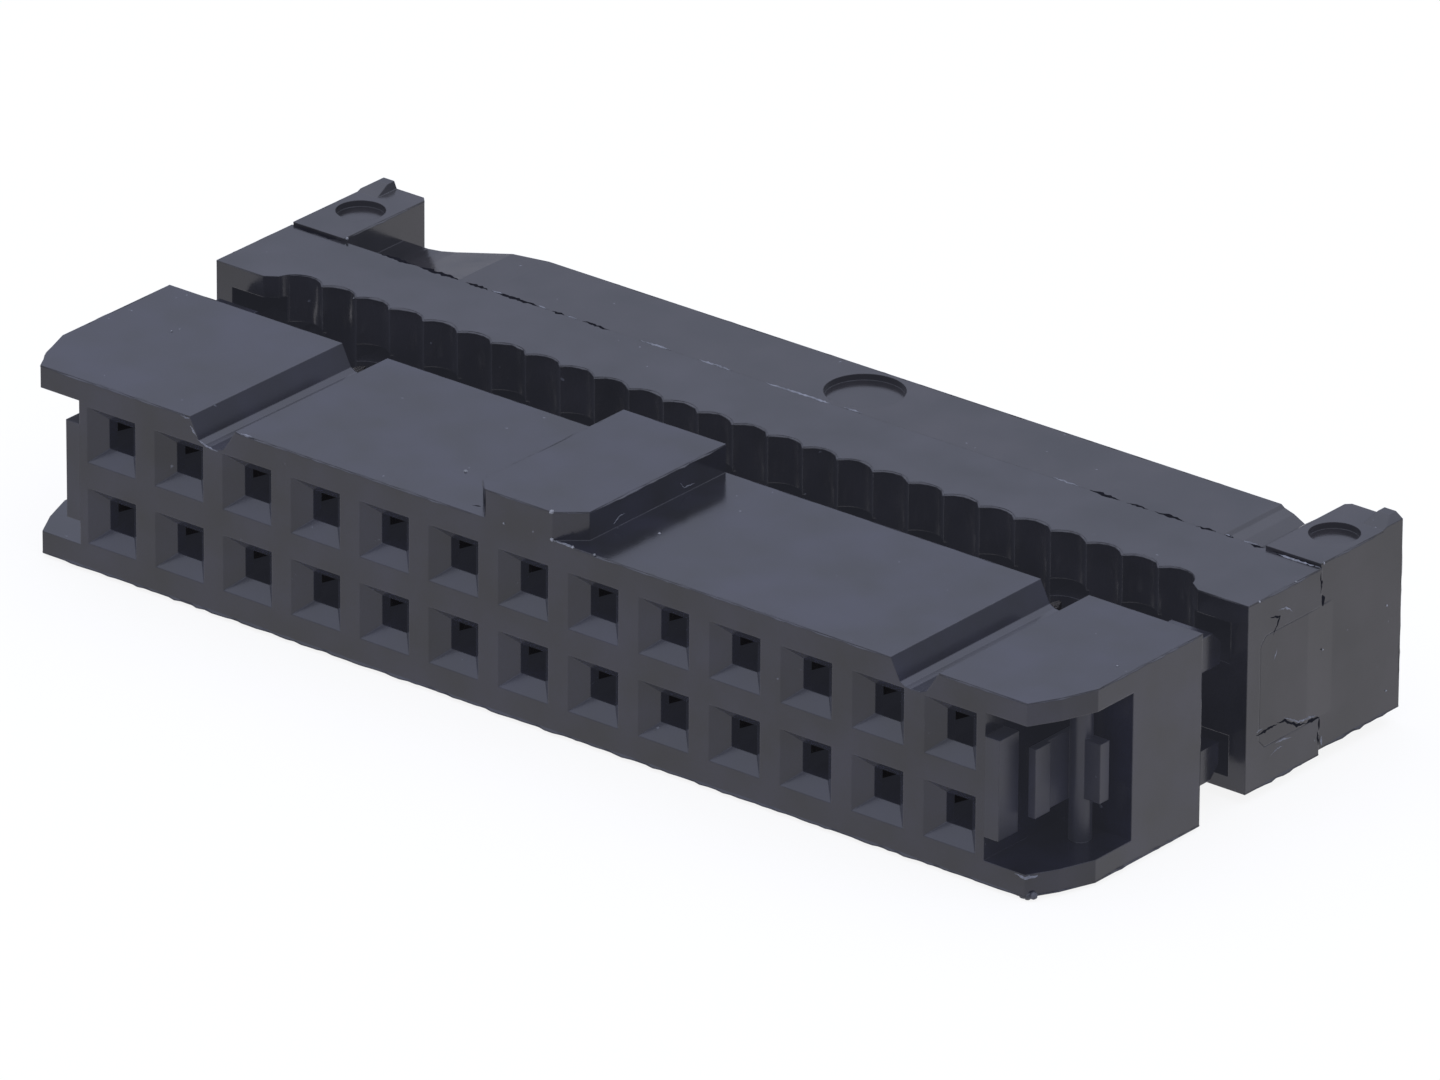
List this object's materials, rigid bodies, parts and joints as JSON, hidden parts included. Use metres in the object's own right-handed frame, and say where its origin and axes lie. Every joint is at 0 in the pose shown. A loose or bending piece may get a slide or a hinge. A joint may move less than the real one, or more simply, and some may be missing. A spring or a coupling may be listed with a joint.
{
  "type": "insulation displacement connector",
  "caption": "Ribbon-cable socket with two rows of funnelled pin openings, a polarising key, fork contacts, a cover that presses on the cable and a clip-on strain relief.",
  "frame": {"origin": "middle of the contact grid, on the mating face where the pins enter", "axes": "+X along the rows of contacts, +Y from the mating face back to the strain relief, +Z from the flat side it lies on up towards the key"},
  "size_m": [0.0376, 0.0159, 0.0068],
  "materials": {
    "housing_plastic": "moulded satin",
    "cover_plastic": "moulded satin",
    "relief_plastic": "moulded satin",
    "contact_metal": "tin-plated bronze"
  },
  "bodies": {
    "socket": {"housing": "housing_plastic", "contact_01": "contact_metal", "contact_02": "contact_metal", "contact_03": "contact_metal", "contact_04": "contact_metal", "contact_05": "contact_metal", "contact_06": "contact_metal", "contact_07": "contact_metal", "contact_08": "contact_metal", "contact_09": "contact_metal", "contact_10": "contact_metal", "contact_11": "contact_metal", "contact_12": "contact_metal", "contact_13": "contact_metal", "contact_14": "contact_metal", "contact_15": "contact_metal", "contact_16": "contact_metal", "contact_17": "contact_metal", "contact_18": "contact_metal", "contact_19": "contact_metal", "contact_20": "contact_metal", "contact_21": "contact_metal", "contact_22": "contact_metal", "contact_23": "contact_metal", "contact_24": "contact_metal", "contact_25": "contact_metal", "contact_26": "contact_metal"},
    "cover": {"cover": "cover_plastic", "strain_relief": "relief_plastic"}
  },
  "joints": [
    {"name": "cover_press", "type": "slide", "parent": "socket", "child": "cover", "axis": [0, -1, 0], "range_m": [0, 0.00203]}
  ]
}
